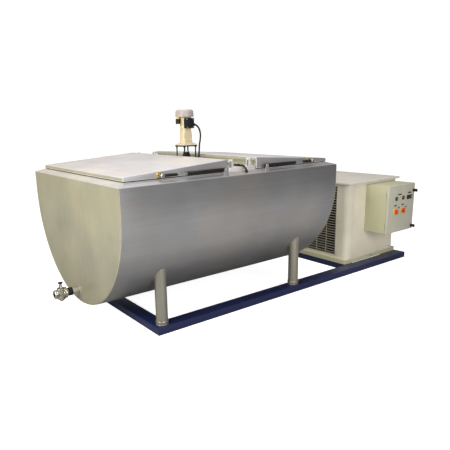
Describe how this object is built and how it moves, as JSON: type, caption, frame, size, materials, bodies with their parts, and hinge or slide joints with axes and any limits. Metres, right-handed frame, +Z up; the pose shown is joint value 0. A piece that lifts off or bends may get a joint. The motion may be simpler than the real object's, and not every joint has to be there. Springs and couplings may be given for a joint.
{
  "type": "bulk milk tank",
  "caption": "Open half-round steel milk cooling tank with hinged lids, a top agitator, an outlet valve and an attached condensing unit on a box-section frame.",
  "frame": {"origin": "centre of the footprint, on the floor", "axes": "+Z up, +X along the tank from the outlet towards the condensing unit, -Y the side with the control box"},
  "size_m": [3.143, 1.435, 1.378],
  "materials": {
    "jacket_steel": "fine brushed stainless sheet",
    "lid_steel": "satin stainless sheet",
    "polished_steel": "polished stainless",
    "valve_chrome": "polished plated metal",
    "frame_blue": "semi-gloss navy paint",
    "cabinet_cream": "cream powder coat",
    "motor_casting": "cream paint on a casting",
    "cowl_white": "off-white moulding",
    "black_plastic": "black moulding",
    "black_steel": "black paint",
    "black_rubber": "black rubber",
    "plated_bracket": "yellow passivated plate",
    "foam": "rigid foam",
    "copper_line": "copper tube",
    "coil_fins": "aluminium fins",
    "compressor_black": "black enamel",
    "red_handle": "red moulding",
    "green_cap": "green moulding",
    "red_cap": "red moulding",
    "milky_gear": "grey mouldings"
  },
  "bodies": {
    "tank": {"bridge": "lid_steel", "cabinet": "cabinet_cream", "cabinet_top": "cabinet_cream", "compressor": "compressor_black", "condenser_coil": "coil_fins", "condenser_grille": "cabinet_cream", "control_box": "cabinet_cream", "control_gear": "milky_gear", "evaporator_plate": "polished_steel", "fan_cowl": "cowl_white", "fan_shroud": "cabinet_cream", "far_rail": "frame_blue", "gearbox": "motor_casting", "inner_vessel": "polished_steel", "insulation": "foam", "left_cross_member": "frame_blue", "left_far_leg": "jacket_steel", "left_hinge_pin": "black_steel", "left_near_leg": "jacket_steel", "liquid_line": "copper_line", "motor_cable": "black_rubber", "motor_housing": "motor_casting", "motor_stand": "black_steel", "near_rail": "frame_blue", "outer_jacket": "jacket_steel", "outlet_pipe": "polished_steel", "outlet_union_nut": "black_plastic", "right_cross_member": "frame_blue", "right_far_leg": "jacket_steel", "right_hinge_pin": "black_steel", "right_near_leg": "jacket_steel", "shaft_seal": "black_rubber", "suction_line": "copper_line", "tank_rim": "lid_steel", "terminal_box": "black_plastic", "unit_cross_member": "frame_blue", "unit_tray": "cabinet_cream", "valve_body": "valve_chrome"},
    "left_lid": {"left_lid": "lid_steel", "left_lid_gasket": "black_rubber", "left_lid_bracket": "plated_bracket"},
    "right_lid": {"right_lid": "lid_steel", "right_lid_gasket": "black_rubber", "right_lid_bracket": "plated_bracket"},
    "left_strut_tube": {"left_strut_tube": "black_steel"},
    "left_strut_rod": {"left_strut_rod": "polished_steel"},
    "right_strut_tube": {"right_strut_tube": "black_steel"},
    "right_strut_rod": {"right_strut_rod": "polished_steel"},
    "agitator": {"agitator_shaft": "polished_steel", "agitator_paddle": "polished_steel"},
    "outlet_plug": {"valve_plug": "valve_chrome", "valve_knob": "black_plastic"},
    "condenser_fan": {"condenser_fan": "black_plastic"},
    "control_door": {"control_door": "cabinet_cream"},
    "upper_door_lock": {"upper_door_lock": "black_plastic"},
    "lower_door_lock": {"lower_door_lock": "black_plastic"},
    "left_switch": {"left_switch": "red_handle"},
    "right_switch": {"right_switch": "red_handle"},
    "start_button": {"start_button": "green_cap"},
    "stop_button": {"stop_button": "red_cap"}
  },
  "joints": [
    {"name": "left_lid_hinge", "type": "hinge", "parent": "tank", "child": "left_lid", "pos_m": [-0.5535, 0.0275, 1.045], "axis": [0, 1, 0], "range_deg": [0, 75]},
    {"name": "left_strut_pivot", "type": "hinge", "parent": "tank", "child": "left_strut_tube", "pos_m": [-0.6535, -0.6325, 1], "axis": [0, 1, 0], "range_deg": [0, 83]},
    {"name": "left_strut_slide", "type": "slide", "parent": "left_strut_tube", "child": "left_strut_rod", "axis": [-1, 0, 0], "range_m": [0, 0.1231]},
    {"name": "right_lid_hinge", "type": "hinge", "parent": "tank", "child": "right_lid", "pos_m": [-0.4035, 0.0275, 1.045], "axis": [0, -1, 0], "range_deg": [0, 75]},
    {"name": "right_strut_pivot", "type": "hinge", "parent": "tank", "child": "right_strut_tube", "pos_m": [-0.3035, -0.6325, 1], "axis": [0, -1, 0], "range_deg": [0, 83]},
    {"name": "right_strut_slide", "type": "slide", "parent": "right_strut_tube", "child": "right_strut_rod", "axis": [1, 0, 0], "range_m": [0, 0.1231]},
    {"name": "agitator_spin", "type": "hinge", "parent": "tank", "child": "agitator", "pos_m": [-0.4835, 0.0275, 0.335], "axis": [0, 0, 1], "continuous": true},
    {"name": "outlet_plug_turn", "type": "hinge", "parent": "tank", "child": "outlet_plug", "pos_m": [-1.5245, 0.0275, 0.2095], "axis": [0, 0, 1], "range_deg": [0, 90]},
    {"name": "condenser_fan_spin", "type": "hinge", "parent": "tank", "child": "condenser_fan", "pos_m": [0.9665, 0.0275, 0.415], "axis": [1, 0, 0], "continuous": true},
    {"name": "control_door_hinge", "type": "hinge", "parent": "tank", "child": "control_door", "pos_m": [1.0595, -0.6615, 0.5215], "axis": [0, 0, -1], "range_deg": [0, 110]},
    {"name": "upper_door_lock_turn", "type": "hinge", "parent": "control_door", "child": "upper_door_lock", "pos_m": [1.4275, -0.6805, 0.662], "axis": [0, 1, 0], "range_deg": [0, 90]},
    {"name": "lower_door_lock_turn", "type": "hinge", "parent": "control_door", "child": "lower_door_lock", "pos_m": [1.4275, -0.6805, 0.347], "axis": [0, 1, 0], "range_deg": [0, 90]},
    {"name": "left_switch_turn", "type": "hinge", "parent": "control_door", "child": "left_switch", "pos_m": [1.1695, -0.6805, 0.502], "axis": [0, 1, 0], "range_deg": [0, 90]},
    {"name": "right_switch_turn", "type": "hinge", "parent": "control_door", "child": "right_switch", "pos_m": [1.2735, -0.6805, 0.502], "axis": [0, 1, 0], "range_deg": [0, 90]},
    {"name": "start_button_press", "type": "slide", "parent": "control_door", "child": "start_button", "axis": [0, 1, 0], "range_m": [0, 0.004], "stiffness_N_per_m": 600},
    {"name": "stop_button_press", "type": "slide", "parent": "control_door", "child": "stop_button", "axis": [0, 1, 0], "range_m": [0, 0.004], "stiffness_N_per_m": 600}
  ],
  "couplings": [
    {"joint": "left_strut_pivot", "follows": "left_lid_hinge", "ratio": 1.084},
    {"joint": "left_strut_slide", "follows": "left_lid_hinge", "m_per_rad": 0.092488},
    {"joint": "right_strut_pivot", "follows": "right_lid_hinge", "ratio": 1.084},
    {"joint": "right_strut_slide", "follows": "right_lid_hinge", "m_per_rad": 0.092488}
  ]
}
